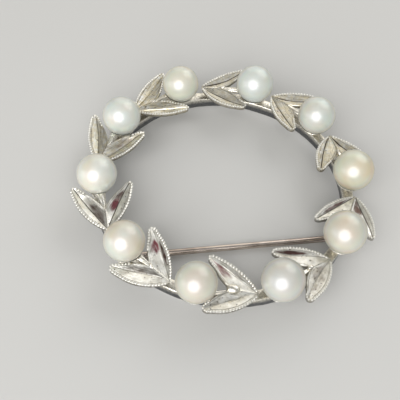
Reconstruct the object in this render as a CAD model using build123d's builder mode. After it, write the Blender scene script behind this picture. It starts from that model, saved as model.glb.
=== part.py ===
from build123d import *
from math import cos, radians, sin, sqrt, tan
import os

# Wreath brooch in millimetres. The ring's centre is on the Z axis, the back of the
# brooch rests on z = 0, +Z points out of its face and -Y is its lower edge.

# Ring and pearls
pearl_count = 10
first_pearl_angle = 154.48
ring_radius = 16.0
pearl_diameter = 5.0
pearl_drill_diameter = 0.9
pearl_drill_depth = 2.4

band_inset = 0.25
band_width = 1.4
band_height = 1.5
band_chamfer = 0.12

# Cup and peg under each pearl
pearl_lift = 0.3
pearl_gap = 0.06
cup_height = 0.85
cup_wall = 0.12
peg_diameter = 0.7
peg_end_gap = 0.4

# Leaf pair ahead of each pearl, open towards it
leaf_base_ahead = 7.1
leaf_base_inset = 1.35
leaf_base_drop = 1.5
leaf_pair_turn = 8.45
leaf_half_spread = 29.65
leaf_rise = 7.5
leaf_length = 7.1
leaf_outer_width = 1.1
leaf_outer_share = 0.53
leaf_inner_width = 1.42
leaf_inner_share = 0.42
leaf_edge_wall = 0.4
leaf_rim_width = 0.18
leaf_vein_depth = 0.5
leaf_vein_width = 0.06
leaf_keel_depth = 0.75
leaf_keel_width = 0.5

# Post that carries the leaf pair on the band
post_ahead = 4.74
post_length = 1.6
post_width = 1.0
post_bite = 0.1

# Stalk that runs from the fork of the leaves to the pearl
stalk_start = 2.4
stalk_sink = 0.33
stalk_narrow_diameter = 0.56
stalk_wide_diameter = 1.6
stalk_end_ahead = 1.75
stalk_end_inset = 0.2
stalk_end_drop = 1.6

# Pin, hinge and catch on the back
back_drop = 1.2
pin_offset = 7.87
pin_angle = 14.75
pin_diameter = 0.78
pin_root_diameter = 0.92
pin_root_length = 1.7
pin_past_catch = 0.9
point_length = 2.6
point_diameter = 0.16
knuckle_diameter = 1.04
knuckle_width = 0.9
knuckle_side_gap = 0.08
ear_thickness = 0.45
ear_length = 1.3
ear_corner = 0.2
rivet_diameter = 0.4
rivet_gap = 0.04
rivet_head_diameter = 0.76
rivet_head_height = 0.2
catch_length = 1.2
catch_wall = 0.4
catch_gap = 0.08

# Each pearl's own size as a share of the pearl diameter, and how far along the ring
# it and its leaf pair sit from their even places, as shares of the spacing.
pearl_rows = [
    {"size": 1.00, "slip": 0.00, "leaf_slip": 0.00},
    {"size": 0.98, "slip": 0.00, "leaf_slip": 0.00},
    {"size": 1.02, "slip": -0.03, "leaf_slip": -0.03},
    {"size": 1.00, "slip": 0.00, "leaf_slip": 0.00},
    {"size": 1.04, "slip": 0.00, "leaf_slip": 0.00},
    {"size": 1.04, "slip": 0.02, "leaf_slip": -0.01},
    {"size": 1.01, "slip": -0.02, "leaf_slip": -0.02},
    {"size": 0.97, "slip": 0.00, "leaf_slip": -0.01},
    {"size": 0.98, "slip": 0.03, "leaf_slip": -0.01},
    {"size": 0.99, "slip": 0.00, "leaf_slip": 0.00},
]

# Levels and places worked out from the sizes above
band_radius = ring_radius - band_inset
band_bottom = back_drop
band_top = band_bottom + band_height
pearl_level = band_top + pearl_lift + pearl_diameter / 2
leaf_level = pearl_level - leaf_base_drop
pearl_spacing = 360 / pearl_count

pearls = []
leaf_turns = []
for index in range(pearl_count):
    row = pearl_rows[index % len(pearl_rows)]
    even_angle = first_pearl_angle - pearl_spacing * index
    pearl_angle = radians(even_angle + pearl_spacing * row["slip"])
    radius = pearl_diameter * row["size"] / 2
    height = band_top + pearl_lift + radius
    centre = Vector(ring_radius * cos(pearl_angle), ring_radius * sin(pearl_angle), height)
    pearls.append({"radius": radius, "centre": centre})
    leaf_turns.append(Location((0, 0, 0), (0, 0, even_angle + pearl_spacing * row["leaf_slip"])))

# Pin line: x runs along the pin from the catch to the hinge, y is up
pin_level = back_drop / 2
half_chord = sqrt(band_radius**2 - pin_offset**2)
pin_direction = Vector(cos(radians(pin_angle)), sin(radians(pin_angle)), 0)
pin_side = Vector(sin(radians(pin_angle)), -cos(radians(pin_angle)), 0)
pin_foot = pin_side * pin_offset + Vector(0, 0, pin_level)
pin_plane = Plane(pin_foot, x_dir=pin_direction, z_dir=pin_side)
catch_plane = Plane(pin_foot - pin_direction * half_chord, x_dir=pin_side * -1, z_dir=pin_direction)
fork_gap = knuckle_width + 2 * knuckle_side_gap
fork_width = fork_gap + 2 * ear_thickness
catch_bore = pin_diameter + 2 * catch_gap

# Leaf pair of a pearl that lies on the +X axis
pair_base = (ring_radius - leaf_base_inset, leaf_base_ahead, leaf_level)
pair_place = Location(pair_base, (0, 0, leaf_pair_turn - 90))
leaf_spread = Location((0, 0, 0), (0, 0, leaf_half_spread))
leaf_tilt = Location((0, 0, 0), (0, -leaf_rise, 0))
leaf_place = pair_place * leaf_spread * leaf_tilt
leaf_plane = Plane(leaf_place)
mitre_plane = Plane(pair_place * Location((0, 0, 0), (90, 0, 0)))
leaf_slope = tan(radians(leaf_rise)) * cos(radians(leaf_half_spread))

post_x = sqrt(band_radius**2 - post_ahead**2)
post_top = leaf_level + (leaf_base_ahead - post_ahead) * leaf_slope - leaf_edge_wall + post_bite
post_plane = Plane((post_x, post_ahead, band_top), x_dir=(-post_ahead, post_x, 0), z_dir=(0, 0, 1))

stalk_foot = (pair_place * Location((stalk_start, 0, stalk_start * leaf_slope - stalk_sink))).position
stalk_end = Vector(ring_radius - stalk_end_inset, stalk_end_ahead, pearl_level - stalk_end_drop)
stalk_plane = Plane(stalk_foot, z_dir=stalk_end - stalk_foot)


def leaf_section(drop, start, end, outer_width, inner_width):
    """Leaf outline as a face: a lens on its outer side, fuller and oval at its base inside the fork."""
    outer_widest = start + (end - start) * leaf_outer_share
    inner_widest = start + (end - start) * leaf_inner_share
    with BuildSketch(leaf_plane.offset(-drop)) as section:
        with BuildLine():
            TangentArc((outer_widest, outer_width), (start, 0), tangent=(-1, 0))
            EllipticalCenterArc((inner_widest, 0), inner_widest - start, inner_width, 180, arc_size=90)
            TangentArc((inner_widest, -inner_width), (end, 0), tangent=(1, 0))
            TangentArc((outer_widest, outer_width), (end, 0), tangent=(1, 0))
        make_face()
    return section.sketch


leaf_top = leaf_section(0, 0, leaf_length, leaf_outer_width, leaf_inner_width)
leaf_edge = leaf_section(leaf_edge_wall, 0, leaf_length, leaf_outer_width, leaf_inner_width)
keel_half = leaf_keel_width / 2
keel_end = leaf_length - 2 * leaf_keel_width
leaf_keel = leaf_section(leaf_keel_depth, leaf_keel_width, keel_end, keel_half, keel_half)
groove_end = leaf_length - 2 * leaf_rim_width
groove_outer = leaf_outer_width - leaf_rim_width
groove_inner = leaf_inner_width - leaf_rim_width
groove_top = leaf_section(0, leaf_rim_width, groove_end, groove_outer, groove_inner)
vein_half = leaf_vein_width / 2
vein_end = groove_end - 2 * leaf_rim_width
groove_vein = leaf_section(leaf_vein_depth, 3 * leaf_rim_width, vein_end, vein_half, vein_half)

# Leaf pair, post and stalk, one soldered piece
with BuildPart() as leaf_unit:
    extrude(leaf_top, amount=-leaf_edge_wall)
    loft([leaf_edge, leaf_keel], ruled=True)
    loft([groove_top, groove_vein], ruled=True, mode=Mode.SUBTRACT)
    split(bisect_by=mitre_plane, keep=Keep.BOTTOM)
    mirror(about=mitre_plane)
    with BuildSketch(post_plane):
        Ellipse(post_length / 2, post_width / 2)
    extrude(amount=post_top - band_top)
    with BuildSketch(stalk_plane):
        Circle(stalk_narrow_diameter / 2)
    with BuildSketch(stalk_plane.offset((stalk_end - stalk_foot).length)):
        Circle(stalk_wide_diameter / 2)
    loft(ruled=True)

# Wreath frame: band, cups, pegs, leaf pairs, hinge fork and catch, all soldered together
with BuildPart() as wreath_frame:
    with BuildSketch(Plane.XY.offset(band_bottom)):
        Circle(band_radius + band_width / 2)
        Circle(band_radius - band_width / 2, mode=Mode.SUBTRACT)
    extrude(amount=band_height)
    chamfer(wreath_frame.edges(), band_chamfer)
    for pearl in pearls:
        with Locations((pearl["centre"].X, pearl["centre"].Y, band_top)):
            rim_drop = pearl["radius"] + pearl_lift - cup_height
            rim_radius = sqrt((pearl["radius"] + pearl_gap) ** 2 - rim_drop**2) + cup_wall
            Cone(band_width / 2, rim_radius, cup_height, align=(Align.CENTER, Align.CENTER, Align.MIN))
    with Locations(leaf_turns):
        add(leaf_unit.part)
    for pearl in pearls:
        with Locations(pearl["centre"]):
            Sphere(pearl["radius"] + pearl_gap, mode=Mode.SUBTRACT)
    for pearl in pearls:
        with Locations((pearl["centre"].X, pearl["centre"].Y, band_top)):
            peg_height = pearl_lift + pearl_drill_depth - peg_end_gap
            Cylinder(peg_diameter / 2, peg_height, align=(Align.CENTER, Align.CENTER, Align.MIN))

    # Hinge fork: two ears with flat feet, bored for the rivet
    with BuildSketch(pin_plane) as ear:
        with Locations((half_chord, band_bottom - pin_level)):
            Rectangle(ear_length, back_drop, align=(Align.CENTER, Align.MAX))
        fillet(ear.vertices().group_by(Axis.Y)[0], ear_corner)
    extrude(amount=fork_width / 2, both=True)
    with BuildSketch(pin_plane):
        with Locations((half_chord, band_bottom - pin_level)):
            Rectangle(ear_length, back_drop, align=(Align.CENTER, Align.MAX))
    extrude(amount=fork_gap / 2, both=True, mode=Mode.SUBTRACT)
    with BuildSketch(pin_plane):
        with Locations((half_chord, 0)):
            Circle(rivet_diameter / 2 + rivet_gap)
    extrude(amount=fork_width, both=True, mode=Mode.SUBTRACT)

    # Catch: a plain cradle over the pin, open at the back
    with BuildSketch(catch_plane):
        with Locations((0, -pin_level)):
            Rectangle(catch_bore + 2 * catch_wall, back_drop, align=(Align.CENTER, Align.MIN))
            Rectangle(catch_bore, pin_level, align=(Align.CENTER, Align.MIN), mode=Mode.SUBTRACT)
        Circle(catch_bore / 2, mode=Mode.SUBTRACT)
    extrude(amount=catch_length / 2, both=True)

# Pin: a round stem, stout at the hinge's flat knuckle and pointed past the catch
with BuildPart() as pin_stem:
    with BuildSketch(pin_plane):
        with BuildLine():
            tip = -half_chord - pin_past_catch
            Polyline(
                (half_chord, 0),
                (tip, 0),
                (tip, point_diameter / 2),
                (tip + point_length, pin_diameter / 2),
                (half_chord - pin_root_length, pin_diameter / 2),
                (half_chord, pin_root_diameter / 2),
                close=True,
            )
        make_face()
    revolve(axis=Axis(pin_foot, pin_direction))
    with BuildSketch(pin_plane):
        with Locations((half_chord, 0)):
            Circle(knuckle_diameter / 2)
    extrude(amount=knuckle_width / 2, both=True)
    with BuildSketch(pin_plane):
        with Locations((half_chord, 0)):
            Circle(rivet_diameter / 2 + rivet_gap)
    extrude(amount=knuckle_width, both=True, mode=Mode.SUBTRACT)

# Rivet: the hinge's axle, headed outside both ears
with BuildPart() as hinge_rivet:
    rivet_reach = fork_width / 2 + rivet_gap
    with BuildSketch(pin_plane):
        with Locations((half_chord, 0)):
            Circle(rivet_diameter / 2)
    extrude(amount=rivet_reach, both=True)
    with BuildSketch(pin_plane.offset(rivet_reach)):
        with Locations((half_chord, 0)):
            Circle(rivet_head_diameter / 2)
    extrude(amount=rivet_head_height)
    with BuildSketch(pin_plane.offset(-rivet_reach)):
        with Locations((half_chord, 0)):
            Circle(rivet_head_diameter / 2)
    extrude(amount=-rivet_head_height)

os.makedirs("parts", exist_ok=True)

for number, pearl in enumerate(pearls, start=1):
    with BuildPart() as drilled_pearl:
        with Locations(pearl["centre"]):
            Sphere(pearl["radius"])
        underside = pearl["centre"] - Vector(0, 0, pearl["radius"])
        with Locations(Location(underside, (180, 0, 0))):
            Hole(pearl_drill_diameter / 2, pearl_drill_depth)
    drilled_pearl.part.label = f"pearl_{number:02d}"
    export_step(drilled_pearl.part, f"parts/pearl_{number:02d}.step")

wreath_frame.part.label = "wreath_frame"
export_step(wreath_frame.part, "parts/wreath_frame.step")
pin_stem.part.label = "pin_stem"
export_step(pin_stem.part, "parts/pin_stem.step")
hinge_rivet.part.label = "hinge_rivet"
export_step(hinge_rivet.part, "parts/hinge_rivet.step")
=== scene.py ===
import random
from math import atan2, copysign, cos, hypot, log, pi, radians, sin, sqrt, tan

import bmesh
import bpy
from mathutils import Matrix, Vector, noise


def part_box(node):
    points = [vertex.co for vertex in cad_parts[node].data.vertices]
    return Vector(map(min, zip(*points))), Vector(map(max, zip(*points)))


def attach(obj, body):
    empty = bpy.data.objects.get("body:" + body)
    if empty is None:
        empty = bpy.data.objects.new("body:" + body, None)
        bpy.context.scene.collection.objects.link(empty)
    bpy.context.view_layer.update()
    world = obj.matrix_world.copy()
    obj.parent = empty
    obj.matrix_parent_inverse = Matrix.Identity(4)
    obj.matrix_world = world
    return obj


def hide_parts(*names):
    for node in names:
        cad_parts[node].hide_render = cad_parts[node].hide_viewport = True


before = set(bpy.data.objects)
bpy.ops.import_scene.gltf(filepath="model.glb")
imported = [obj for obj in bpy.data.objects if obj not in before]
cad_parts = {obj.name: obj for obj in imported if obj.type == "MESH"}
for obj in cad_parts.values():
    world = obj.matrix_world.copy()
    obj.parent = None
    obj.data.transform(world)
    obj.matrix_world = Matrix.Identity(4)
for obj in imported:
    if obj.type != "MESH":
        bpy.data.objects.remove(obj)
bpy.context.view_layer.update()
mm = 0.001  # the meshes are built in millimetres and scaled once, when they are finished
random.seed(7)

# The pin's line under the wreath, which the hinge, the catch and the wire's finish all follow
pin = {
    "angle": 14.75,  # degrees, from +X
    "offset": 7.87,
    "level": 0.6,
    "radius": 0.39,
}

# The wreath: ten pearls on a ring, numbered clockwise from the upper left
wreath = {
    "pearlCount": 10,
    "firstAngle": 154.48,  # degrees, from +X
    "ringRadius": 16.0,
    "bandTop": 2.7,
    "bandBottom": 1.2,
    "pearlLevel": 5.5,
}
spacing = 360 / wreath["pearlCount"]
solderDepth = 0.08  # how far the posts, the hinge and the catch reach into the band


def nodeBall(node):
    low, high = (Vector(corner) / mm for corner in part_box(node))
    radius = (high.x - low.x) / 2
    return Vector(((low.x + high.x) / 2, (low.y + high.y) / 2, high.z - radius)), radius


pearls = [nodeBall(f"pearl_{number:02d}") for number in range(1, wreath["pearlCount"] + 1)]
print("frame loaded,", len(pearls), "pearls")


# Materials

# a Mix node's sockets share their names, so its colours go by place
mixFactor, mixFirst, mixSecond, mixResult = 0, 6, 7, 2


def hexColour(code):
    channels = [int(code[place:place + 2], 16) / 255 for place in (1, 3, 5)]
    linear = [c / 12.92 if c <= 0.04045 else ((c + 0.055) / 1.055) ** 2.4 for c in channels]
    return (*linear, 1.0)


def newMaterial(name, fixed):
    # what is the same all over the surface goes straight on the shader
    material = bpy.data.materials.new(name)
    material.use_nodes = True
    tree = material.node_tree
    shader = tree.nodes["Principled BSDF"]
    for socket, value in fixed.items():
        shader.inputs[socket].default_value = value
    return material, tree, shader


def addNode(tree, kind, inputs=None, settings=None, stops=()):
    # an input is an output to link to it, a number or a hex colour; the stops are for a colour ramp
    node = tree.nodes.new(kind)
    for name, value in (settings or {}).items():
        setattr(node, name, value)
    for name, value in (inputs or {}).items():
        if isinstance(value, bpy.types.NodeSocket):
            tree.links.new(value, node.inputs[name])
        else:
            node.inputs[name].default_value = hexColour(value) if isinstance(value, str) else value
    if stops:
        elements = node.color_ramp.elements
        while len(elements) < len(stops):
            elements.new(1.0)
        for element, (place, colour) in zip(elements, stops):
            element.position = place
            element.color = hexColour(colour)
    return node


def addPatches(tree, coords, size, detail, stops):
    # soft patches of the stops' colours, their size in mm
    patches = addNode(tree, "ShaderNodeTexNoise",
                      {"Vector": coords.outputs["Object"], "Scale": 1 / (size * mm), "Detail": detail})
    return patches, addNode(tree, "ShaderNodeValToRGB", {"Fac": patches.outputs["Fac"]}, stops=stops)


def addGrain(tree, coords, size, detail, depth):
    # a fine unevenness of the surface, its size and depth in mm
    grain = addNode(tree, "ShaderNodeTexNoise",
                    {"Vector": coords.outputs["Object"], "Scale": 1 / (size * mm), "Detail": detail})
    return addNode(tree, "ShaderNodeBump", {"Height": grain.outputs["Fac"], "Distance": depth * mm})


silverLook = {
    "clean": "#F0EFE9",
    "worn": "#CFCCC3",
    # a painted warm reflection of a cream ground behind, laid on the far leaves
    "warmReflectionColour": "#E2D6B4",
    "cutLines": "#A1967E",
    "shadeAndTarnish": "#3F352C",
    # painted shade, and a painted reflection of reddish surroundings, for patches on the facets
    "brownPaintedShade": "#5E5148",
    "redPaintedReflection": "#7C4A4F",
    "mottleSize": 0.8,  # mm
    "patchSize": 0.45,  # mm
    "blotchLength": 1.1,  # mm
    "blotchWidth": 0.35,  # mm
    "pitSize": 0.3,  # mm
    "streakLength": 1.8,  # mm
    "streakWidth": 0.13,  # mm, coarser than the real 0.02 mm so that it shows
    "streakDepth": 0.018,  # mm
    "grainSize": 0.2,  # mm
    "grainDepth": 0.022,  # mm
    "smooth": 0.28,
    "rough": 0.48,
    "shadeAndTarnishRough": 0.25,  # added where shade and tarnish are painted
}


def makeLeafSilver():
    # Sterling silver, bright-cut with a graver: streaks along each leaf, painted shade dark in its cuts, with
    # a painted warm reflection and patches of painted shade and reflection laid over it
    material, tree, shader = newMaterial("bright_cut_silver", {"Metallic": 1.0})
    look = silverLook
    leafPlace, shadeAndTarnish, paintedPatch, redness, warmReflection = (
        addNode(tree, "ShaderNodeAttribute", settings={"attribute_name": name})
        for name in ("leafPlace", "shadeAndTarnish", "paintedPatch", "redness", "warmReflection"))
    coords = addNode(tree, "ShaderNodeTexCoord")
    stretch = (1 / look["streakLength"], 1 / look["streakWidth"], 1)
    along = addNode(tree, "ShaderNodeMapping", {"Vector": leafPlace.outputs["Vector"], "Scale": stretch})
    streaks = addNode(tree, "ShaderNodeTexNoise",
                      {"Vector": along.outputs["Vector"], "Scale": 1, "Detail": 3})
    spread = (1 / look["blotchLength"], 1 / look["blotchWidth"], 1)
    drift = addNode(tree, "ShaderNodeMapping", {"Vector": leafPlace.outputs["Vector"], "Scale": spread})
    blotches = addNode(tree, "ShaderNodeTexNoise",
                       {"Vector": drift.outputs["Vector"], "Scale": 1, "Detail": 3})
    _, metal = addPatches(tree, coords, look["mottleSize"], 4, ((0.35, look["worn"]), (0.62, look["clean"])))
    patches, pits, grain = (
        addNode(tree, "ShaderNodeTexNoise",
                {"Vector": coords.outputs["Object"], "Scale": 1 / (look[size] * mm), "Detail": detail})
        for size, detail in (("patchSize", 2), ("pitSize", 1), ("grainSize", 2)))
    # the painted warm reflection is patchy, and grey lies in the deeper streaks where it is painted
    patchy = addNode(tree, "ShaderNodeMapRange",
                     {"Value": patches.outputs["Fac"], "From Min": 0.36, "From Max": 0.6,
                      "To Max": warmReflection.outputs["Fac"]})
    lines = addNode(tree, "ShaderNodeMapRange",
                    {"Value": streaks.outputs["Fac"], "From Min": 0.5, "From Max": 0.37,
                     "To Max": warmReflection.outputs["Fac"]})
    # a painted patch of shade and reflection is blotched: it takes hold where its strength is above the noise
    above = addNode(tree, "ShaderNodeMath", {0: paintedPatch.outputs["Fac"], 1: blotches.outputs["Fac"]},
                    {"operation": "SUBTRACT"})
    hold = addNode(tree, "ShaderNodeMapRange",
                   {"Value": above.outputs["Value"], "From Min": -0.2, "From Max": 0.36})
    paintedPatchColour = addNode(tree, "ShaderNodeMix",
                          {mixFactor: redness.outputs["Fac"], mixFirst: look["brownPaintedShade"],
                           mixSecond: look["redPaintedReflection"]}, {"data_type": "RGBA"})
    specks = addNode(tree, "ShaderNodeMapRange",
                     {"Value": pits.outputs["Fac"], "From Min": 0.67, "From Max": 0.73, "To Max": 0.7})
    colour = metal.outputs["Color"]
    for share, shade in (  # laid one over the other
            (patchy.outputs["Result"], look["warmReflectionColour"]),
            (lines.outputs["Result"], look["cutLines"]),
            (hold.outputs["Result"], paintedPatchColour.outputs[mixResult]),
            (specks.outputs["Result"], look["shadeAndTarnish"]),
            (shadeAndTarnish.outputs["Fac"], look["shadeAndTarnish"])):
        layer = addNode(tree, "ShaderNodeMix", {mixFactor: share, mixFirst: colour, mixSecond: shade},
                        {"data_type": "RGBA"})
        colour = layer.outputs[mixResult]
    tree.links.new(colour, shader.inputs["Base Color"])
    gloss = addNode(tree, "ShaderNodeMapRange",
                    {"Value": streaks.outputs["Fac"], "From Min": 0.3, "From Max": 0.7,
                     "To Min": look["smooth"], "To Max": look["rough"]})
    dulled = addNode(tree, "ShaderNodeMath",
                     {0: shadeAndTarnish.outputs["Fac"], 1: look["shadeAndTarnishRough"], 2: gloss.outputs["Result"]},
                     {"operation": "MULTIPLY_ADD", "use_clamp": True})
    tree.links.new(dulled.outputs["Value"], shader.inputs["Roughness"])
    cuts = addNode(tree, "ShaderNodeBump",
                   {"Height": streaks.outputs["Fac"], "Distance": look["streakDepth"] * mm})
    bump = addNode(tree, "ShaderNodeBump",
                   {"Height": grain.outputs["Fac"], "Normal": cuts.outputs["Normal"],
                    "Distance": look["grainDepth"] * mm})
    tree.links.new(bump.outputs["Normal"], shader.inputs["Normal"])
    return material


burnishedLook = {
    "clean": "#F4F0E6",
    "worn": "#D9D4C8",
    "patchSize": 0.5,  # mm
    "smooth": 0.24,
    "rough": 0.44,
}


def makeBurnishedSilver():
    # Solder and wire rubbed smooth with a burnisher: the glints at the leaves' forks
    material, tree, shader = newMaterial("burnished_silver", {"Metallic": 1.0})
    look = burnishedLook
    coords = addNode(tree, "ShaderNodeTexCoord")
    stops = ((0.36, look["worn"]), (0.58, look["clean"]))
    patches, metal = addPatches(tree, coords, look["patchSize"], 3, stops)
    tree.links.new(metal.outputs["Color"], shader.inputs["Base Color"])
    gloss = addNode(tree, "ShaderNodeMapRange",
                    {"Value": patches.outputs["Fac"], "From Min": 0.35, "From Max": 0.6,
                     "To Min": look["rough"], "To Max": look["smooth"]})
    tree.links.new(gloss.outputs["Result"], shader.inputs["Roughness"])
    return material


milgrainLook = {
    "clean": "#F3F1EA",
    "hollowShade": "#7C7569",
    "grainSize": 0.12,  # mm
    "grainDepth": 0.006,  # mm
    "roughness": 0.42,
}


def makeMilgrain():
    # Silver beads rolled along the rims with a knurled wheel: bright grains, with painted shade grey on their
    # lower sides between them
    look = milgrainLook
    fixed = {"Metallic": 1.0, "Roughness": look["roughness"]}
    material, tree, shader = newMaterial("milgrain_silver", fixed)
    shadeAndTarnish = addNode(tree, "ShaderNodeAttribute", settings={"attribute_name": "shadeAndTarnish"})
    colour = addNode(tree, "ShaderNodeMix",
                     {mixFactor: shadeAndTarnish.outputs["Fac"], mixFirst: look["clean"], mixSecond: look["hollowShade"]},
                     {"data_type": "RGBA"})
    tree.links.new(colour.outputs[mixResult], shader.inputs["Base Color"])
    coords = addNode(tree, "ShaderNodeTexCoord")
    bump = addGrain(tree, coords, look["grainSize"], 2, look["grainDepth"])
    tree.links.new(bump.outputs["Normal"], shader.inputs["Normal"])
    return material


castLook = {
    "clean": "#ECE8DC",
    "dark": "#BDB8AE",
    "darkReflection": "#454B55",
    "pitSize": 0.3,  # mm
    "pitDepth": 0.026,  # mm
    "grainSize": 0.1,  # mm
    "grainDepth": 0.008,  # mm
    "smooth": 0.26,
    "rough": 0.48,
}


def makeCastSilver():
    # Cast silver left as it came from the mould: small pits and a soft grain; a blue-grey painted reflection
    # darkens the band's sides
    material, tree, shader = newMaterial("cast_silver", {"Metallic": 1.0})
    look = castLook
    coords = addNode(tree, "ShaderNodeTexCoord")
    pits, metal = addPatches(tree, coords, look["pitSize"], 3, ((0.34, look["dark"]), (0.56, look["clean"])))
    shadeAndTarnish = addNode(tree, "ShaderNodeAttribute", settings={"attribute_name": "shadeAndTarnish"})
    colour = addNode(tree, "ShaderNodeMix",
                     {mixFactor: shadeAndTarnish.outputs["Fac"], mixFirst: metal.outputs["Color"],
                      mixSecond: look["darkReflection"]}, {"data_type": "RGBA"})
    tree.links.new(colour.outputs[mixResult], shader.inputs["Base Color"])
    gloss = addNode(tree, "ShaderNodeMapRange",
                    {"Value": pits.outputs["Fac"], "From Min": 0.35, "From Max": 0.65,
                     "To Min": look["rough"], "To Max": look["smooth"]})
    tree.links.new(gloss.outputs["Result"], shader.inputs["Roughness"])
    shallow = addGrain(tree, coords, look["grainSize"], 2, look["grainDepth"])
    deep = addNode(tree, "ShaderNodeBump",
                   {"Height": pits.outputs["Fac"], "Distance": look["pitDepth"] * mm,
                    "Normal": shallow.outputs["Normal"]})
    tree.links.new(deep.outputs["Normal"], shader.inputs["Normal"])
    return material


pinLook = {
    "clean": "#D6CAC0",
    "dark": "#A89A90",
    "patchSize": 2.5,  # mm
    "drawnLength": 20,  # mm
    "drawnWidth": 0.05,  # mm
    "drawnDepth": 0.002,  # mm
    "roughness": 0.22,
}


def makePinWire():
    # Nickel silver wire, drawn through a die: fine lines along it, slightly pink and yellowed
    look = pinLook
    fixed = {"Metallic": 1.0, "Roughness": look["roughness"]}
    material, tree, shader = newMaterial("drawn_nickel_silver", fixed)
    coords = addNode(tree, "ShaderNodeTexCoord")
    stops = ((0.35, look["dark"]), (0.6, look["clean"]))
    _, metal = addPatches(tree, coords, look["patchSize"], 3, stops)
    tree.links.new(metal.outputs["Color"], shader.inputs["Base Color"])
    lineSize = (look["drawnLength"] * mm, look["drawnWidth"] * mm, look["drawnWidth"] * mm)
    along = addNode(tree, "ShaderNodeMapping",
                    {"Vector": coords.outputs["Object"], "Rotation": (0, 0, radians(pin["angle"])),
                     "Scale": lineSize}, {"vector_type": "TEXTURE"})
    lines = addNode(tree, "ShaderNodeTexNoise", {"Vector": along.outputs["Vector"], "Scale": 1, "Detail": 2})
    bump = addNode(tree, "ShaderNodeBump",
                   {"Height": lines.outputs["Fac"], "Distance": look["drawnDepth"] * mm})
    tree.links.new(bump.outputs["Normal"], shader.inputs["Normal"])
    return material


nacreLook = {
    "cloudSize": 2.6,  # mm
    "skinSize": 0.35,  # mm
    "skinDepth": 0.004,  # mm
    "glow": 0.6,  # mm that light travels under the skin
    "film": 670,  # nm
    "rows": [  # body colour, overtone and second overtone of each pearl
        ("#CDD3CA", "#CFCDC0", "#C8D1CA"),
        ("#CECCBA", "#D0C7AE", "#C9CCBA"),
        ("#C8CDC4", "#C9CBBE", "#C3CEC8"),
        ("#C5C7BC", "#C7C5B6", "#BFC8BE"),
        ("#CAC5AC", "#CEBD9B", "#C3C7B0"),
        ("#C6C3B2", "#C8BBA4", "#C0C3B5"),
        ("#C0C0B6", "#C3BCB0", "#B8BDB5"),
        ("#C6C3B2", "#C8BDAD", "#C0C2B3"),
        ("#CFCCBE", "#CCC2AA", "#C8CCBF"),
        ("#D4D5C9", "#D3CBB4", "#CDD1C8"),
    ],
}


def makeNacre(number):
    # Cultured pearl: a soft white body under clear nacre, clouds of cream, rose and green
    look = nacreLook
    body, blush, cool = look["rows"][number - 1]
    fixed = {
        "Roughness": 0.5,
        "IOR": 1.66,
        "Specular IOR Level": 1.0,
        "Subsurface Weight": 0.25,
        "Subsurface Scale": look["glow"] * mm,
        "Subsurface Radius": (1.0, 0.8, 0.65),
        "Coat Weight": 1.0,
        "Coat Roughness": 0.25,
        "Coat IOR": 1.9,
        "Sheen Weight": 0.1,
        "Sheen Roughness": 0.4,
        "Thin Film Thickness": look["film"],
        "Thin Film IOR": 1.06,
    }
    material, tree, shader = newMaterial(f"nacre_{number:02d}", fixed)
    coords = addNode(tree, "ShaderNodeTexCoord")
    stops = ((0.3, cool), (0.5, body), (0.7, blush))
    _, tint = addPatches(tree, coords, look["cloudSize"], 1.5, stops)
    tree.links.new(tint.outputs["Color"], shader.inputs["Base Color"])
    bump = addGrain(tree, coords, look["skinSize"], 3, look["skinDepth"])
    tree.links.new(bump.outputs["Normal"], shader.inputs["Normal"])
    return material


leafSilver = makeLeafSilver()
milgrain = makeMilgrain()
castSilver = makeCastSilver()
burnishedSilver = makeBurnishedSilver()
pinWire = makePinWire()
print("materials made")


# Shaping and finishing a piece
finish = {
    "merge": 0.0005,  # mm, points closer than this become one
    "sharpFrom": 32,  # degrees, a fold steeper than this is shaded as an edge
    "bevelFrom": 40,  # degrees, a fold steeper than this gets its corner rounded
}


def easeBetween(value, low, high):
    part = min(max((value - low) / (high - low), 0), 1)
    return part * part * (3 - 2 * part)


def finishPiece(bm, name, materials, body="wreath", stands=("wreath_frame",)):
    bmesh.ops.scale(bm, vec=(mm, mm, mm), verts=bm.verts)
    mesh = bpy.data.meshes.new(name)
    bm.to_mesh(mesh)
    bm.free()
    for material in materials:
        mesh.materials.append(material)
    mesh.set_sharp_from_angle(angle=radians(finish["sharpFrom"]))
    for face in mesh.polygons:
        face.use_smooth = True
    piece = bpy.data.objects.new(name, mesh)
    bpy.context.scene.collection.objects.link(piece)
    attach(piece, body)
    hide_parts(*stands)


def spinRound(bm, geom, steps):
    bmesh.ops.spin(bm, geom=geom, cent=(0, 0, 0), axis=(0, 0, 1), angle=2 * pi, steps=steps, use_merge=True)
    bmesh.ops.remove_doubles(bm, verts=bm.verts, dist=finish["merge"])
    bmesh.ops.recalc_face_normals(bm, faces=bm.faces)


def spinProfile(bm, points, steps):
    # a line of (distance from the Z axis, height) points turned full circle
    verts = [bm.verts.new((away, 0, height)) for away, height in points]
    edges = [bm.edges.new(pair) for pair in zip(verts, verts[1:])]
    spinRound(bm, verts + edges, steps)


def arcPoints(radius, centreHeight, start, end, steps):
    # points on a circle about the Z axis' line; angles in degrees down from straight up
    turns = [radians(start + (end - start) * step / steps) for step in range(steps + 1)]
    return [(radius * sin(turn), centreHeight + radius * cos(turn)) for turn in turns]


def degreesDown(away, drop):
    # the angle of a point that lies below the circle's centre
    return 180 - atan2(away, drop) * 180 / pi


def extrudeRing(bm, edges):
    made = bmesh.ops.extrude_edge_only(bm, edges=edges)["geom"]
    return ([item for item in made if isinstance(item, bmesh.types.BMVert)],
            [item for item in made if isinstance(item, bmesh.types.BMEdge)])


def bevelEdges(bm, edges, offset, segments):
    bmesh.ops.bevel(bm, geom=edges, offset=offset, affect="EDGES", segments=segments, profile=0.5,
                    material=-1)


def sharpEdges(bm):
    return [edge for edge in bm.edges if edge.calc_face_angle(0) > radians(finish["bevelFrom"])]


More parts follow.
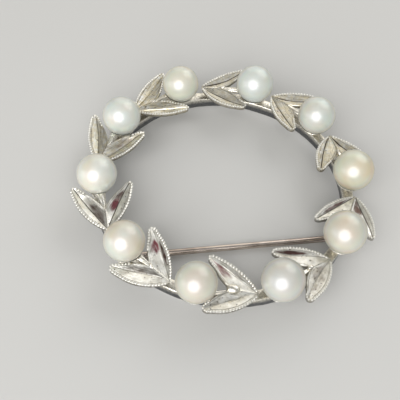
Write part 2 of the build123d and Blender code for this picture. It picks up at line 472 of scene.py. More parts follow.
# The band: a square cast ring, a little uneven along its length
band = {
    "radius": 15.75,
    "width": 1.4,
    "squareness": 0.25,
    "sectionSteps": 24,
    "steps": 360,
    "unevenness": 0.045,
    "waveLength": 1.1,
    "lower": 0.6,  # the whole ring lies lower by this share of its unevenness
    "shadeAndTarnish": 0.85,
    "darkeningDepth": (0.1, 0.5),  # below its top: where the painted reflection starts and where it is full
}


def makeBand():
    bm = bmesh.new()
    height = wreath["bandTop"] - wreath["bandBottom"]
    middle = (wreath["bandTop"] + wreath["bandBottom"]) / 2
    bmesh.ops.create_circle(bm, segments=band["sectionSteps"], radius=1)
    for vert in bm.verts:  # the circle is pushed out to a square with soft corners
        across, up = (copysign(abs(part) ** band["squareness"], part) for part in (vert.co.x, vert.co.y))
        vert.co = (band["radius"] + across * band["width"] / 2, 0, middle + up * height / 2)
    spinRound(bm, bm.verts[:] + bm.edges[:], band["steps"])
    shadeAndTarnish = bm.verts.layers.float.new("shadeAndTarnish")
    for vert in bm.verts:
        depth = wreath["bandTop"] - vert.co.z
        # painted reflection of a dark ground: the band's sides darken below its top
        vert[shadeAndTarnish] = band["shadeAndTarnish"] * easeBetween(depth, *band["darkeningDepth"])
        ripple = noise.noise_vector(vert.co / band["waveLength"]) * band["unevenness"]
        vert.co += Vector((ripple.x, ripple.y, ripple.z - band["unevenness"] * band["lower"]))
    finishPiece(bm, "band_ring", [castSilver])


makeBand()
print("band made")


# A cup and a peg under each pearl
cup = {
    "footRadius": 0.7,
    "footSink": 0.05,
    "footHeight": 0.03,
    "height": 0.85,
    "flareShares": (0.3, 0.6, 0.85),
    "waist": 0.06,
    "wall": 0.12,
    "rimRound": 0.05,
    "rimFlat": (0.7, 0.25),  # shares of the wall
    "gap": 0.06,
    "bowlSteps": 6,
    "pegRadius": 0.35,
    "pegTop": 2.3,
    "pegChamfer": 0.1,
    "steps": 40,
}


def makeCup(number, centre, radius):
    bm = bmesh.new()
    level = wreath["bandTop"]
    rim = level + cup["height"]
    ball = radius + cup["gap"]
    rimDrop = centre.z - level - cup["height"]
    rimAway = sqrt(ball ** 2 - rimDrop ** 2)
    points = [(cup["footRadius"], level - cup["footSink"]), (cup["footRadius"], level + cup["footHeight"])]
    for share in cup["flareShares"]:
        flare = cup["footRadius"] + (rimAway + cup["wall"] - cup["footRadius"]) * share
        points.append((flare - cup["waist"] * sin(pi * share), level + cup["height"] * share))
    points.append((rimAway + cup["wall"], rim - cup["rimRound"]))
    points += [(rimAway + cup["wall"] * share, rim) for share in cup["rimFlat"]]
    pegRadius = cup["pegRadius"]
    pegTop = level + cup["pegTop"]
    pegTurn = degreesDown(pegRadius, sqrt(ball ** 2 - pegRadius ** 2))
    points += arcPoints(ball, centre.z, degreesDown(rimAway, rimDrop), pegTurn, cup["bowlSteps"])
    points += [(pegRadius, pegTop - cup["pegChamfer"]), (pegRadius - cup["pegChamfer"], pegTop), (0, pegTop)]
    spinProfile(bm, points, cup["steps"])
    bmesh.ops.translate(bm, vec=(centre.x, centre.y, 0), verts=bm.verts)
    finishPiece(bm, f"pearl_cup_{number:02d}", [castSilver])


# Pearls: drilled from below, not quite round
pearlShape = {
    "steps": 64,
    "arcSteps": 40,
    "holeRadius": 0.45,
    "holeDepth": 2.4,
    "drillPoint": 0.1,
    "skinFrom": 0.98,
    "unevenness": 0.03,
    "waveLength": 3.2,
    "noiseStep": 9.0,  # how far apart in the noise two pearls are
}


def makePearl(number, centre, radius):
    bm = bmesh.new()
    shape = pearlShape
    edgeTurn = degreesDown(shape["holeRadius"], sqrt(radius ** 2 - shape["holeRadius"] ** 2))
    points = arcPoints(radius, 0, 0, edgeTurn, shape["arcSteps"])
    holeTop = shape["holeDepth"] - radius
    points += [(shape["holeRadius"], holeTop), (0, holeTop + shape["drillPoint"])]
    spinProfile(bm, points, shape["steps"])
    for vert in bm.verts:
        if vert.co.length > radius * shape["skinFrom"]:  # not the walls of the hole
            wave = noise.noise((vert.co + Vector((number * shape["noiseStep"], 0, 0))) / shape["waveLength"])
            vert.co *= 1 - shape["unevenness"] / radius * (0.5 + 0.5 * wave)
    bmesh.ops.translate(bm, vec=centre, verts=bm.verts)
    node = f"pearl_{number:02d}"
    finishPiece(bm, f"{node}_nacre", [makeNacre(number)], "wreath", [node])


for number, (centre, radius) in enumerate(pearls, 1):
    makeCup(number, centre, radius)
    makePearl(number, centre, radius)
print("cups and pearls made")


# Leaf pairs: two grooved leaves that meet in a fork, open towards their pearl.
# Lengths in mm in the pair's own frame: x from the base towards the pearl, +y out of the ring.
# What isn't a length or an angle is a share or a power.
leaf = {
    "alongSteps": 46,
    "facetSteps": 6,
    "rise": 7.5,  # degrees
    "baseInset": 1.35,
    "baseAhead": 7.1,
    "baseDrop": 1.5,
    "pairTurn": 8.45,  # degrees
    "forkAngle": 30,  # degrees from the pair's axis to a leaf, the usual one
    "outerFullness": 0.75,
    "innerFullness": 1.0,
    "outerWidest": 0.53,
    "innerWidest": 0.42,
    "tipFrom": 0.8,
    "tipBlunt": 0.4,
    "edgeRound": 0.08,
    "rimWidth": 0.3,
    "plainRimWidth": 0.2,
    "rimCrown": 0.015,
    "seatDrop": 0.07,
    "beadRoom": 0.05,
    "beadEase": 0.06,
    "cutWidth": 0.045,
    "cutDepth": 0.1,
    "rimStep": 0.07,
    "fullTrim": 2.2,  # a side needs this many times its trim's width for the trim to be whole
    "veinSwing": 0.7,
    "veinReach": 0.7,
    "veinDepth": 0.24,
    "fullFacet": 0.7,
    "veinWidth": 0.15,
    "veinCut": 0.045,
    "veinWallPlace": 0.55,
    "veinWallDepth": 0.6,
    "facetHollow": 1.1,
    "edgeWall": 0.6,
    "keelDepth": 0.82,
    "undercut": 0.96,
    "underShade": 0.6,
    "notch": 0.42,
    "meetOverlap": 0.015,
    "meetShares": (0.3, 0.48),  # where the leaves stop touching and where they are apart
    "meetRim": 0.5,
    "runTogetherRim": 0.4,
    "creaseDepth": 0.12,
    "unevenness": 0.026,
    "waveLength": 1.15,
}
paintedPatchShape = {"middle": 0.32, "halfWidth": 0.3, "full": 0.45, "gone": 1.1}
beadRow = {
    "pitch": 0.34,
    "radius": 0.165,
    "inset": 0.06,
    "length": 1.06,  # this and the next two are shares of the radius
    "width": 1.05,
    "height": 0.82,
    "sink": 0.06,
    "start": 0.05,
    "innerSize": 0.85,
    "unevenness": 0.1,
}
post = {
    "ahead": 4.74,
    "length": 1.6,
    "width": 1.0,
    "segments": 28,
    "bite": 0.12,
    "waist": ((0.06, 1.0), (0.2, 0.86), (0.5, 0.8), (0.8, 0.86), (1.0, 1.05)),  # share of its height, size
}

# One row a pair: its slip along the ring as a share of the spacing, the stalk's half width at
# the pearl and its shift out of the ring, how dark the painted shade in the veins is, the radius of
# the solder dot and of a second glint, how strong the painted warm reflection is and how dull the
# silver is, how dark the painted shade in the crease between the leaves is, how far they run
# together there, and the height of a rib along the veins. For each leaf its spread from the pair's
# axis in degrees, length, widths outside and inside the axis, how far the vein lies off the axis at
# the base and at the tip, where the inner beads start and how steep its facets are. A painted patch
# of shade and reflection gives its share of the length, its side of the vein, half its length as a
# share, its strength and its redness. What a row leaves out is as in the plain ones.
plainPair = {"slip": 0, "stalkOut": 0, "solder": 0.14, "glint": 0, "dull": 0, "crease": 0, "runTogether": 0,
             "rib": 0}
plainLeaf = {"groove": 1, "paintedPatches": ()}
leafPairs = [
    {"stalk": 0.5, "veinDark": 0.6, "warmReflection": 0.6, "crease": 0.8,
     "outer": {"spread": 30.5, "length": 7.25, "out": 0.98, "in": 1.48, "vein": (-0.2, -0.4), "beads": 0.75,
               "groove": 1.3},
     "inner": {"spread": 27.0, "length": 7.3, "out": 1.08, "in": 1.37, "vein": (0, -0.15), "beads": 0.8,
               "groove": 1.2, "paintedPatches": ((0.62, -1, 0.26, 0.5, 0.5),)}},
    {"stalk": 0.5, "veinDark": 0, "warmReflection": 0.7, "crease": 0.9, "rib": 0.12,
     "outer": {"spread": 29.0, "length": 7.3, "out": 1.05, "in": 1.55, "vein": (-0.1, -0.1), "beads": 0.6},
     "inner": {"spread": 29.0, "length": 7.25, "out": 1.02, "in": 1.55, "vein": (-0.1, -0.25), "beads": 0.5}},
    {"slip": -0.03, "stalk": 0.42, "veinDark": 1, "solder": 0.2, "warmReflection": 0.45, "dull": 0.1,
     "crease": 0.8,
     "outer": {"spread": 31.0, "length": 6.6, "out": 0.685, "in": 1.45, "vein": (-0.3, -0.5), "beads": 0.7,
               "paintedPatches": ((0.12, -1, 0.14, 0.7, 0.2),)},
     "inner": {"spread": 28.0, "length": 7.2, "out": 1.45, "in": 1.27, "vein": (0.1, 0.3), "beads": 0.8,
               "groove": 0.85}},
    {"stalk": 0.5, "veinDark": 0.9, "warmReflection": 0.6, "dull": 0.16, "crease": 0.8,
     "outer": {"spread": 31.0, "length": 7, "out": 1, "in": 1.45, "vein": (-0.4, -0.4), "beads": 0.7,
               "groove": 0.8},
     "inner": {"spread": 29.0, "length": 7.2, "out": 1.16, "in": 1.5, "vein": (0.05, 0.05), "beads": 0.7,
               "groove": 0.7, "paintedPatches": ((0.5, 1, 0.3, 0.45, 0.6),)}},
    {"stalk": 0.6, "veinDark": 1, "warmReflection": 0.6, "dull": 0.14, "crease": 0.8,
     "outer": {"spread": 31.5, "length": 6.8, "out": 0.73, "in": 1.45, "vein": (-0.4, -0.4), "beads": 0.7,
               "paintedPatches": ((0.2, -1, 0.2, 0.5, 0.2),)},
     "inner": {"spread": 30.5, "length": 6.95, "out": 1.15, "in": 1.4, "vein": (0.4, 0.07), "beads": 0.7}},
    {"slip": -0.01, "stalk": 0.6, "veinDark": 0.8, "warmReflection": 0.05, "runTogether": 0.3,
     "outer": {"spread": 32.0, "length": 6.8, "out": 0.98, "in": 1.4, "vein": (0, 0.3), "beads": 0.7,
               "paintedPatches": ((0.25, -1, 0.34, 0.85, 0.1),)},
     "inner": {"spread": 29.0, "length": 7.1, "out": 0.92, "in": 1.4, "vein": (0.1, 0.1), "beads": 0.7,
               "paintedPatches": ((0.5, 1, 0.44, 0.82, 0.3),)}},
    {"slip": -0.02, "stalk": 0.6, "veinDark": 0.35, "solder": 0.28, "warmReflection": 0.15, "dull": 0.15,
     "runTogether": 0.5,
     "outer": {"spread": 30.7, "length": 6.8, "out": 1.16, "in": 1.47, "vein": (-0.15, -0.4), "beads": 0.9,
               "groove": 0.75, "paintedPatches": ((0.35, -1, 0.3, 0.6, 0), (0.6, 1, 0.35, 0.5, 0))},
     "inner": {"spread": 30.8, "length": 7.05, "out": 1.07, "in": 1.35, "vein": (0.4, -0.1), "beads": 0.8,
               "paintedPatches": ((0.68, 1, 0.38, 0.95, 0.3),)}},
    {"slip": -0.01, "stalk": 0.5, "stalkOut": 0.65, "veinDark": 0.3, "solder": 0.52, "glint": 0.42,
     "warmReflection": 0.15, "dull": 0.06, "runTogether": 0.6,
     "outer": {"spread": 26.5, "length": 6.9, "out": 1.18, "in": 1.42, "vein": (-0.4, 0), "beads": 0.85},
     "inner": {"spread": 31.0, "length": 7.05, "out": 0.9, "in": 1.57, "vein": (0, 0), "beads": 0.8,
               "groove": 0.5, "paintedPatches": ((0.74, -1, 0.3, 0.74, 0.6), (0.5, 1, 0.3, 0.5, 0.2))}},
    {"slip": -0.01, "stalk": 0.75, "veinDark": 0.35, "warmReflection": 0.1, "runTogether": 0.6,
     "outer": {"spread": 31.3, "length": 6.9, "out": 1.32, "in": 1.4, "vein": (-0.55, -0.15), "beads": 0.7,
               "paintedPatches": ((0.45, -1, 0.55, 0.66, 0),)},
     "inner": {"spread": 28.8, "length": 7.1, "out": 1, "in": 1.52, "vein": (0.15, 0.25), "beads": 0.6,
               "paintedPatches": ((0.66, -1, 0.17, 0.85, 0.9), (0.5, 1, 0.3, 0.85, 0.2))}},
    {"stalk": 0.78, "veinDark": 0.9, "warmReflection": 0.15, "crease": 0.3, "runTogether": 0.3,
     "outer": {"spread": 29.3, "length": 6.92, "out": 1.17, "in": 1.37, "vein": (0, 0), "beads": 0.8,
               "paintedPatches": ((0.34, -1, 0.34, 0.72, 0.1),)},
     "inner": {"spread": 31.6, "length": 6.92, "out": 0.97, "in": 1.42, "vein": (-0.25, -0.25), "beads": 1,
               "paintedPatches": ((0.5, -1, 0.2, 0.88, 0.9), (0.68, -1, 0.17, 0.8, 0.2))}},
]
leafPairs = [{**plainPair, **pair} for pair in leafPairs]
leafLevel = wreath["pearlLevel"] - leaf["baseDrop"]
forkSlope = tan(radians(leaf["rise"])) * cos(radians(leaf["forkAngle"]))


def pairTurn(number, pair):
    # turns a pair that is drawn beside +X to its place round the wreath
    return Matrix.Rotation(
        radians(wreath["firstAngle"] - spacing * (number - 1) + spacing * pair["slip"]), 4, "Z")


def forkPlace(skew):
    # from the pair's own frame to its place beside +X
    base = Vector((wreath["ringRadius"] - leaf["baseInset"], leaf["baseAhead"], leafLevel))
    return Matrix.Translation(base) @ Matrix.Rotation(radians(leaf["pairTurn"] - 90 + skew), 4, "Z")


def fullness(share, widest, power):
    # how wide a leaf is at a share of its length, 1 at its widest place, blunt at the tip
    bent = share ** (log(0.5) / log(widest))
    blunt = 1 - leaf["tipBlunt"] * easeBetween(share, leaf["tipFrom"], 1)
    return max(4 * bent * (1 - bent), 0) ** (power * blunt)


def leafHalves(row, share):
    # where the vein and the two edges lie across the leaf, mm from its axis
    x = row["length"] * share
    outer = (row["out"] - leaf["beadRoom"]) * fullness(share, leaf["outerWidest"], leaf["outerFullness"])
    inner = row["in"] * fullness(share, leaf["innerWidest"], leaf["innerFullness"])
    meet = x * cos(radians(leaf["rise"])) * tan(radians(row["halfAngle"])) + leaf["meetOverlap"]
    inner = min(inner, meet)
    first, last = row["vein"]
    vein = (first + (last - first) * share) * sin(pi * share) ** leaf["veinSwing"]
    vein = min(max(vein, -inner * leaf["veinReach"]), outer * leaf["veinReach"])
    return vein, outer, inner


def leafColumns(beaded, narrow):
    # distance from the edge in mm, drop in mm and painted shade and tarnish of the columns from the edge to
    # the facet
    seat = leaf["seatDrop"] * beaded
    rim = (leaf["plainRimWidth"] + (leaf["rimWidth"] - leaf["plainRimWidth"]) * beaded) * narrow
    cut = leaf["cutWidth"]
    return [
        (0.0, seat + leaf["edgeRound"], 0.15),
        (leaf["edgeRound"] * narrow, seat, 0.05),
        (rim / 2, seat - leaf["rimCrown"], 0.05),
        (rim, seat + 0.01, 0.15 + 0.15 * beaded),
        # a painted shadow line: the cut inside the rim is darkened
        (rim + cut, leaf["cutDepth"] * (0.5 + 0.5 * beaded), 0.85 * narrow - 0.3),
        (rim + 2 * cut, leaf["rimStep"], 0.05),
    ]


def paintedPatchAt(row, share, column):
    # brown and maroon patches of painted shade and painted reflection on the facets, and how red each is
    strength, redness = 0.0, 0.0
    for centre, side, reach, amount, red in row["paintedPatches"]:
        if side * column > 0:
            across = (abs(column) - paintedPatchShape["middle"]) / paintedPatchShape["halfWidth"]
            away = hypot((share - centre) / reach, across)
            here = amount * (1 - easeBetween(away, paintedPatchShape["full"], paintedPatchShape["gone"]))
            if here > strength:
                strength, redness = here, red
    return strength, redness


def leafTopPoint(row, share, column):
    # column runs from -1 at the inner edge over 0 at the vein to 1 at the outer edge
    vein, outer, inner = leafHalves(row, share)
    if column >= 0:
        side = 1
        reach = outer - vein
        apart = 1
        columns = leafColumns(1, 1)
    else:
        side = -1
        reach = inner + vein
        apart = easeBetween(share, *leaf["meetShares"])
        narrow = apart + (leaf["meetRim"] - leaf["runTogetherRim"] * row["runTogether"]) * (1 - apart)
        columns = leafColumns(easeBetween(share, row["beads"] - leaf["beadEase"], row["beads"]), narrow)
    steps = len(columns) + leaf["facetSteps"] + 1
    step = round((1 - abs(column)) * steps)
    trimWidth = columns[-1][0]
    fit = min(1, reach / (leaf["fullTrim"] * trimWidth)) if reach > 0 else 0
    narrower = min(outer - vein, inner + vein) - trimWidth * fit
    depth = leaf["veinDepth"] * row["groove"] * min(1, max(narrower, 0) / leaf["fullFacet"])
    sunk = row["runTogether"] * depth * (1 - apart)
    level = 1 - row["runTogether"] * (1 - apart)
    if step < len(columns):
        away, drop, shadeAndTarnish = columns[step]
        away *= fit
        drop = drop * fit * level + sunk
        if step == 0:
            crease = row["crease"] * (1 - apart)
            drop += leaf["creaseDepth"] * crease
            # painted shade darkens the crease where the leaves meet
            shadeAndTarnish += crease * (1 - shadeAndTarnish)
    else:
        part = min((step - len(columns) + 1) / leaf["facetSteps"], 1)
        bare = reach - trimWidth * fit
        line = min(leaf["veinWidth"] / 2, bare / 3)
        away = trimWidth * fit + (bare - line) * part
        drop = leaf["rimStep"] * fit * level + sunk + (depth - sunk) * part ** leaf["facetHollow"]
        shadeAndTarnish = row["dull"]
        if step >= steps - 1:  # the graver's cut along the vein: its wall, then its floor
            away = reach - (line * leaf["veinWallPlace"] if step < steps else 0)
            drop += (leaf["veinCut"] - row["rib"]) * fit * (leaf["veinWallDepth"] if step < steps else 1)
            # painted shade darkens the vein's cut
            shadeAndTarnish = row["veinDark"]
    y = vein + side * (reach - away)
    handCut = noise.noise(Vector((row["length"] * share, y, row["seed"])) / leaf["waveLength"])
    return Vector((row["length"] * share, y, -drop + handCut * leaf["unevenness"] * fit)), shadeAndTarnish


def leafUnderPoint(row, share, column):
    _, outer, inner = leafHalves(row, share)
    upright = column < 0 and share <= leaf["notch"]  # where the two leaves meet
    y = (outer if column >= 0 else inner) * column * (1 if upright else leaf["undercut"])
    keel = (leaf["keelDepth"] - leaf["edgeWall"]) * (1 - abs(column)) * sin(pi * share) ** 0.5
    return Vector((row["length"] * (0.01 + 0.98 * share), y, -leaf["edgeWall"] * 0.98 - keel))


def leafLayers(bm):
    layers = {name: bm.verts.layers.float.new(name) for name in ("shadeAndTarnish", "paintedPatch", "redness", "warmReflection")}
    layers["leafPlace"] = bm.verts.layers.float_vector.new("leafPlace")
    return layers


def addLeafBlade(bm, row, layers):
    acrossSteps = 2 * (len(leafColumns(1, 1)) + leaf["facetSteps"])
    for pointFor in (leafTopPoint, leafUnderPoint):
        grid = bmesh.ops.create_grid(bm, x_segments=leaf["alongSteps"], y_segments=acrossSteps, size=1)
        for vert in grid["verts"]:
            share = (1 - cos(pi * (vert.co.x + 1) / 2)) / 2  # the steps are closer at both ends
            column = vert.co.y
            if pointFor is leafTopPoint:
                vert.co, vert[layers["shadeAndTarnish"]] = leafTopPoint(row, share, column)
                # painted patches of shade and reflection on the facets
                vert[layers["paintedPatch"]], vert[layers["redness"]] = paintedPatchAt(row, share, column)
            else:
                vert.co = leafUnderPoint(row, share, column)
                # painted shade under the leaf
                vert[layers["shadeAndTarnish"]] = leaf["underShade"]
            vert[layers["leafPlace"]] = vert.co
            # painted warm reflection, stronger on the far pairs
            vert[layers["warmReflection"]] = row["warmReflection"]
    edges = [edge for edge in bm.edges if edge.is_boundary]
    bmesh.ops.bridge_loops(bm, edges=edges)


def edgeLine(row, side, start, end, steps):
    # points on the leaf's edge, from one share of the length to another
    points = []
    for step in range(steps + 1):
        share = start + (end - start) * step / steps
        _, outer, inner = leafHalves(row, share)
        edge = outer if side > 0 else inner
        points.append(Vector((row["length"] * share, side * edge, 0)))
    return points


def insetLine(points, inset):
    # the line moved to its right by the inset, so that the beads sit on the rim
    moved = []
    for index, point in enumerate(points):
        before = points[max(index - 1, 0)]
        after = points[min(index + 1, len(points) - 1)]
        way = (after - before).normalized()
        moved.append(point + Vector((way.y, -way.x, 0)) * inset)
    return moved


def addBeads(bm, row, layers):
    line = edgeLine(row, 1, beadRow["start"], 1.0, 120) + edgeLine(row, -1, 1.0, row["beads"], 60)[1:]
    line = insetLine(line, beadRow["inset"])
    travelled = 0.0
    due = 0.0
    for before, after in zip(line, line[1:]):
        step = (after - before).length
        travelled += step
        if travelled < due or step < 1e-6:
            continue
        due = travelled + beadRow["pitch"]
        way = atan2(after.y - before.y, after.x - before.x)
        size = beadRow["radius"] * (1 + beadRow["unevenness"] * (2 * random.random() - 1))
        if after.y < 0:
            size *= beadRow["innerSize"]
        place = Matrix.Translation((after.x, after.y, -beadRow["sink"])) @ Matrix.Rotation(way, 4, "Z")
        place = place @ Matrix.Diagonal((beadRow["length"], beadRow["width"], beadRow["height"], 1))
        made = bmesh.ops.create_uvsphere(bm, u_segments=8, v_segments=6, radius=size, matrix=place)
        for vert in made["verts"]:
            # painted shade: each bead is darker towards its foot
            vert[layers["shadeAndTarnish"]] = easeBetween(-vert.co.z, 0, beadRow["radius"])
            for face in vert.link_faces:
                face.material_index = 1  # the milgrain


def makeLeaf(row, flip):
    bm = bmesh.new()
    layers = leafLayers(bm)
    addLeafBlade(bm, row, layers)
    bmesh.ops.remove_doubles(bm, verts=bm.verts, dist=0.0008)
    bmesh.ops.recalc_face_normals(bm, faces=bm.faces)
    addBeads(bm, row, layers)
    turn = Matrix.Rotation(radians(row["halfAngle"]), 4, "Z")
    climb = Matrix.Rotation(radians(-leaf["rise"]), 4, "Y")
    bmesh.ops.transform(bm, matrix=turn @ climb, verts=bm.verts)
    if flip:
        bmesh.ops.scale(bm, vec=(1, -1, 1), verts=bm.verts)
        bmesh.ops.reverse_faces(bm, faces=bm.faces)
    return bm


def addPost(bm, turn):
    top = leafLevel + (leaf["baseAhead"] - post["ahead"]) * forkSlope - leaf["edgeWall"] + post["bite"]
    low = wreath["bandTop"] - solderDepth
    away = sqrt(band["radius"] ** 2 - post["ahead"] ** 2)
    ring = bmesh.ops.create_circle(bm, segments=post["segments"], radius=0.5)["verts"]
    bmesh.ops.scale(bm, vec=(post["length"], post["width"], 1), verts=ring)
    alongBand = Matrix.Rotation(atan2(away, -post["ahead"]), 4, "Z")
    place = turn @ Matrix.Translation((away, post["ahead"], 0)) @ alongBand
    bmesh.ops.transform(bm, matrix=place, verts=ring)
    for vert in ring:
        vert.co.z = low
    centre = place.translation
    edges = list({edge for vert in ring for edge in vert.link_edges})
    before = 1.0
    for share, size in post["waist"]:
        verts, edges = extrudeRing(bm, edges)
        for vert in verts:
            flat = Vector((vert.co.x - centre.x, vert.co.y - centre.y)) * (size / before)
            vert.co = (centre.x + flat.x, centre.y + flat.y, low + (top - low) * share)
        before = size


def makeLeafPair(number, pair):
    outerRow, innerRow = ({**plainLeaf, **pair, **pair[side]} for side in ("outer", "inner"))
    for place, row in enumerate((outerRow, innerRow)):
        row["halfAngle"] = (outerRow["spread"] + innerRow["spread"]) / 2
        row["seed"] = 20.0 * number + 7.0 * place  # where in the noise this leaf is
    skew = (outerRow["spread"] - innerRow["spread"]) / 2
    turn = pairTurn(number, pair)
    bm = makeLeaf(outerRow, False)
    other = makeLeaf(innerRow, True)
    mesh = bpy.data.meshes.new("halfPair")
    other.to_mesh(mesh)
    other.free()
    bm.from_mesh(mesh)
    bpy.data.meshes.remove(mesh)
    bmesh.ops.transform(bm, matrix=turn @ forkPlace(skew), verts=bm.verts)
    addPost(bm, turn)
    finishPiece(bm, f"leaf_pair_{number:02d}", [leafSilver, milgrain])


for number, pair in enumerate(leafPairs, 1):
    makeLeafPair(number, pair)
print("leaf pairs made")


# Stalks: a tapered wire from each fork to its pearl, ribbed lengthways, with solder at its root
stalk = {
    "start": 2.55,
    "sink": 0.3,
    "narrow": 0.28,
    "taper": 1.3,
    "endAhead": 1.75,
    "endInset": 0.2,
    "endDrop": 1.6,
    "rootSize": 0.55,
    "rootSink": 0.08,
    "segments": 48,
    "rings": 12,
    "ribs": 6,
    "ribDepth": 0.1,
    "pearlGap": 0.05,
    "dotAhead": 2.95,
    "dotLift": 0.3,
    "dotLong": 1.5,
    "dotFlat": 0.7,
}


def makeStalk(number, pair, centre, radius):
    bm = bmesh.new()
    turn = pairTurn(number, pair)
    pairPlace = forkPlace(0)
    foot = turn @ pairPlace @ Vector((stalk["start"], 0, stalk["start"] * forkSlope - stalk["sink"]))
    end = turn @ Vector((wreath["ringRadius"] - stalk["endInset"] + pair["stalkOut"], stalk["endAhead"],
                         wreath["pearlLevel"] - stalk["endDrop"]))
    way = (end - foot).normalized()
    length = (end - foot).length
    frameTurn = way.to_track_quat("Z", "Y").to_matrix().to_4x4()
    frameTurn.translation = foot
    rings = [bmesh.ops.create_circle(bm, segments=stalk["segments"], radius=1, cap_ends=False)["verts"]]
    edges = bm.edges[:]
    for _ in range(stalk["rings"]):
        verts, edges = extrudeRing(bm, edges)
        rings.append(verts)
    bmesh.ops.holes_fill(bm, edges=[edge for edge in bm.edges if edge.is_boundary], sides=0)
    for step, verts in enumerate(rings):
        share = step / stalk["rings"]
        wide = stalk["narrow"] + (pair["stalk"] - stalk["narrow"]) * share ** stalk["taper"]
        along = length * share
        if step == 0:
            wide *= stalk["rootSize"]
            along = -stalk["rootSink"]
        for vert in verts:
            around = atan2(vert.co.y, vert.co.x)
            rib = 1 + stalk["ribDepth"] * cos(stalk["ribs"] * around) * min(1, 2 * share)
            vert.co = (wide * rib * cos(around), wide * rib * sin(around), along)
    bmesh.ops.transform(bm, matrix=frameTurn, verts=bm.verts)
    lift = stalk["dotLift"] * pair["solder"]
    dot = turn @ pairPlace @ Vector((stalk["dotAhead"], 0, stalk["dotAhead"] * forkSlope + lift))
    place = Matrix.Translation(dot) @ turn @ pairPlace.to_3x3().to_4x4()
    place = place @ Matrix.Diagonal((stalk["dotLong"], 1, stalk["dotFlat"], 1))
    bmesh.ops.create_uvsphere(bm, u_segments=20, v_segments=12, radius=pair["solder"], matrix=place)
    if pair["glint"]:  # a second drop, run out over the end of the stalk
        place.translation = end + Vector((0, 0, stalk["dotLift"] * pair["stalk"]))
        bmesh.ops.create_uvsphere(bm, u_segments=20, v_segments=12, radius=pair["glint"], matrix=place)
    limit = radius + stalk["pearlGap"]
    for vert in bm.verts:  # the end is hollowed round the pearl
        out = vert.co - centre
        if out.length < limit:
            vert.co = centre + out.normalized() * limit
    bmesh.ops.recalc_face_normals(bm, faces=bm.faces)
    finishPiece(bm, f"stalk_{number:02d}", [burnishedSilver])


for number, (pair, (centre, radius)) in enumerate(zip(leafPairs, pearls), 1):
    makeStalk(number, pair, centre, radius)
print("stalks made")


# Hinge fork and catch under the band, on the pin's line
hinge = {"earLength": 1.3, "earThickness": 0.45, "gap": 1.06, "corner": 0.2, "round": 0.05}
catch = {"length": 1.2, "wall": 0.4, "gap": 0.08, "round": 0.05, "archSteps": 14}

pinWay = Vector((cos(radians(pin["angle"])), sin(radians(pin["angle"])), 0))
pinSide = Vector((pinWay.y, -pinWay.x, 0))
pinTurn = Matrix.Rotation(radians(pin["angle"]), 4, "Z")
halfChord = sqrt(band["radius"] ** 2 - pin["offset"] ** 2)  # from the line's middle to the band
fittingTop = wreath["bandBottom"] + solderDepth


def placeOnPin(bm, along):
    spot = pinSide * pin["offset"] + pinWay * along
    bmesh.ops.transform(bm, matrix=Matrix.Translation(spot) @ pinTurn, verts=bm.verts)


def makeHingeFork():
    bm = bmesh.new()
    near = 0.1  # mm
    for side in (1, -1):
        size = Matrix.Diagonal((hinge["earLength"], hinge["earThickness"], fittingTop, 1))
        y = side * (hinge["gap"] + hinge["earThickness"]) / 2
        place = Matrix.Translation((0, y, fittingTop / 2)) @ size
        made = bmesh.ops.create_cube(bm, size=1, matrix=place)["verts"]
        low = [edge for edge in bm.edges if all(v in made and v.co.z < near for v in edge.verts)
               and abs(edge.verts[0].co.y - edge.verts[1].co.y) > near]
        bevelEdges(bm, low, hinge["corner"], 4)  # the two lower edges that cross the ear
    bevelEdges(bm, sharpEdges(bm), hinge["round"], 2)
    placeOnPin(bm, halfChord)
    finishPiece(bm, "hinge_fork", [castSilver])


def makeCatch():
    bm = bmesh.new()
    bore = pin["radius"] + catch["gap"]
    outer = bore + catch["wall"]
    steps = catch["archSteps"]
    bmesh.ops.create_grid(bm, x_segments=steps + 2, y_segments=1, size=1)
    for vert in bm.verts:
        step = round((vert.co.x + 1) / 2 * (steps + 2))
        isOuter = vert.co.y > 0
        if step in (0, steps + 2):
            side = -1 if step == 0 else 1
            vert.co = (0, side * (outer if isOuter else bore), 0)
            continue
        turn = pi - pi * (step - 1) / steps
        reach = bore
        if isOuter:  # square outside, round inside
            rise = fittingTop - pin["level"]
            reach = min(outer / max(abs(cos(turn)), 0.001), rise / max(sin(turn), 0.001))
        vert.co = (0, reach * cos(turn), pin["level"] + reach * sin(turn))
    made = bmesh.ops.extrude_face_region(bm, geom=bm.faces[:])["geom"]
    moved = [item for item in made if isinstance(item, bmesh.types.BMVert)]
    bmesh.ops.translate(bm, vec=(catch["length"], 0, 0), verts=moved)
    bmesh.ops.translate(bm, vec=(-catch["length"] / 2, 0, 0), verts=bm.verts)
    bmesh.ops.recalc_face_normals(bm, faces=bm.faces)
    bevelEdges(bm, sharpEdges(bm), catch["round"], 2)
    placeOnPin(bm, -halfChord)
    finishPiece(bm, "pin_catch", [castSilver])


makeHingeFork()
makeCatch()

for node in ("pin_stem", "hinge_rivet"):
    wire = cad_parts[node]
    wire.data.materials.clear()
    wire.data.materials.append(pinWire)
print("hinge, catch and pin made")


# Floor, lights and camera
view = {
    "elevation": 54.16,  # degrees
    "roll": 7.584,  # degrees
    "distance": 83.98,
    "aside": -3.1,
    "above": -3.493,
    "level": 5.5,
    "focalPixels": 680.73,
    "centrePixels": (202.52, 200.22),
    "framePixels": 400,
    "sensor": 36,
}
studio = {
    "background": "#D9DAD9",
    "strength": 0.48,
    "paper": "#C8C7C4",
    "paperRoughness": 0.9,
    "paperSize": 600,  # mm from the middle to each side
    "lightLevel": 4.0,  # mm above the floor, where the lights point
}


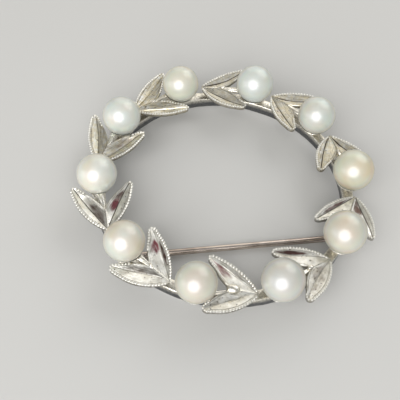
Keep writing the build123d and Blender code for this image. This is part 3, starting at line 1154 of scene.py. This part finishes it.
def makeCamera():
    turn = radians(view["elevation"])
    roll = radians(view["roll"])
    back = Vector((0, -cos(turn), sin(turn)))
    up = Vector((0, sin(turn), cos(turn)))
    right = Vector((1, 0, 0))
    aside = right * cos(roll) + up * sin(roll)
    above = up * cos(roll) - right * sin(roll)
    place = back * view["distance"] + aside * view["aside"] + above * view["above"]
    place += Vector((0, 0, view["level"]))
    data = bpy.data.cameras.new("camera")
    data.sensor_width = view["sensor"]
    data.lens = view["sensor"] * view["focalPixels"] / view["framePixels"]
    middle = view["framePixels"] / 2
    data.shift_x = (middle - view["centrePixels"][0]) / view["framePixels"]
    data.shift_y = (view["centrePixels"][1] - middle) / view["framePixels"]
    data.clip_start = 1 * mm
    camera = bpy.data.objects.new("camera", data)
    bpy.context.scene.collection.objects.link(camera)
    turnMatrix = Matrix((aside, above, back)).transposed().to_4x4()
    camera.matrix_world = Matrix.Translation(place * mm) @ turnMatrix
    bpy.context.scene.camera = camera
    return aside, above, back


lights = [  # direction to the light in the camera's own axes (right, up, towards), distance and size in mm
    {"name": "key_softbox", "way": (-0.24, -0.3, 1.0), "distance": 420, "size": 500, "power": 2.2,
     "colour": "#FFFFFF"},
    {"name": "back_softbox", "way": (0.12, 1.0, -0.25), "distance": 300, "size": 360, "power": 0.25,
     "colour": "#FFF9EC"},
    {"name": "right_softbox", "way": (0.6, 0.86, 0.25), "distance": 300, "size": 260, "power": 0.22,
     "colour": "#FBFCFF"},
    {"name": "left_fill", "way": (-1.6, -0.2, 0.5), "distance": 320, "size": 200, "power": 0.12,
     "colour": "#F6F9FF"},
]


def makeLights(aside, above, back):
    target = Vector((0, 0, studio["lightLevel"]))
    for row in lights:
        x, y, z = row["way"]
        way = (aside * x + above * y + back * z).normalized()
        data = bpy.data.lights.new(row["name"], "AREA")
        data.shape = "DISK"
        data.size = row["size"] * mm
        data.energy = row["power"]
        data.color = hexColour(row["colour"])[:3]
        lamp = bpy.data.objects.new(row["name"], data)
        bpy.context.scene.collection.objects.link(lamp)
        turn = way.to_track_quat("Z", "Y").to_matrix().to_4x4()
        lamp.matrix_world = Matrix.Translation((target + way * row["distance"]) * mm) @ turn
    world = bpy.data.worlds.new("studio")
    bpy.context.scene.world = world
    world.use_nodes = True
    background = world.node_tree.nodes["Background"]
    background.inputs["Color"].default_value = hexColour(studio["background"])
    background.inputs["Strength"].default_value = studio["strength"]
    bpy.context.scene.view_settings.view_transform = "Standard"


def makeFloor():
    # Matt paper: pale and even, so that the shadows stay soft
    bm = bmesh.new()
    bmesh.ops.create_grid(bm, x_segments=1, y_segments=1, size=studio["paperSize"] * mm)
    mesh = bpy.data.meshes.new("floor")
    bm.to_mesh(mesh)
    bm.free()
    floor = bpy.data.objects.new("floor", mesh)
    bpy.context.scene.collection.objects.link(floor)
    fixed = {"Base Color": hexColour(studio["paper"]), "Roughness": studio["paperRoughness"]}
    mesh.materials.append(newMaterial("matt_paper", fixed)[0])


makeLights(*makeCamera())
makeFloor()
print("camera, lights and floor made")
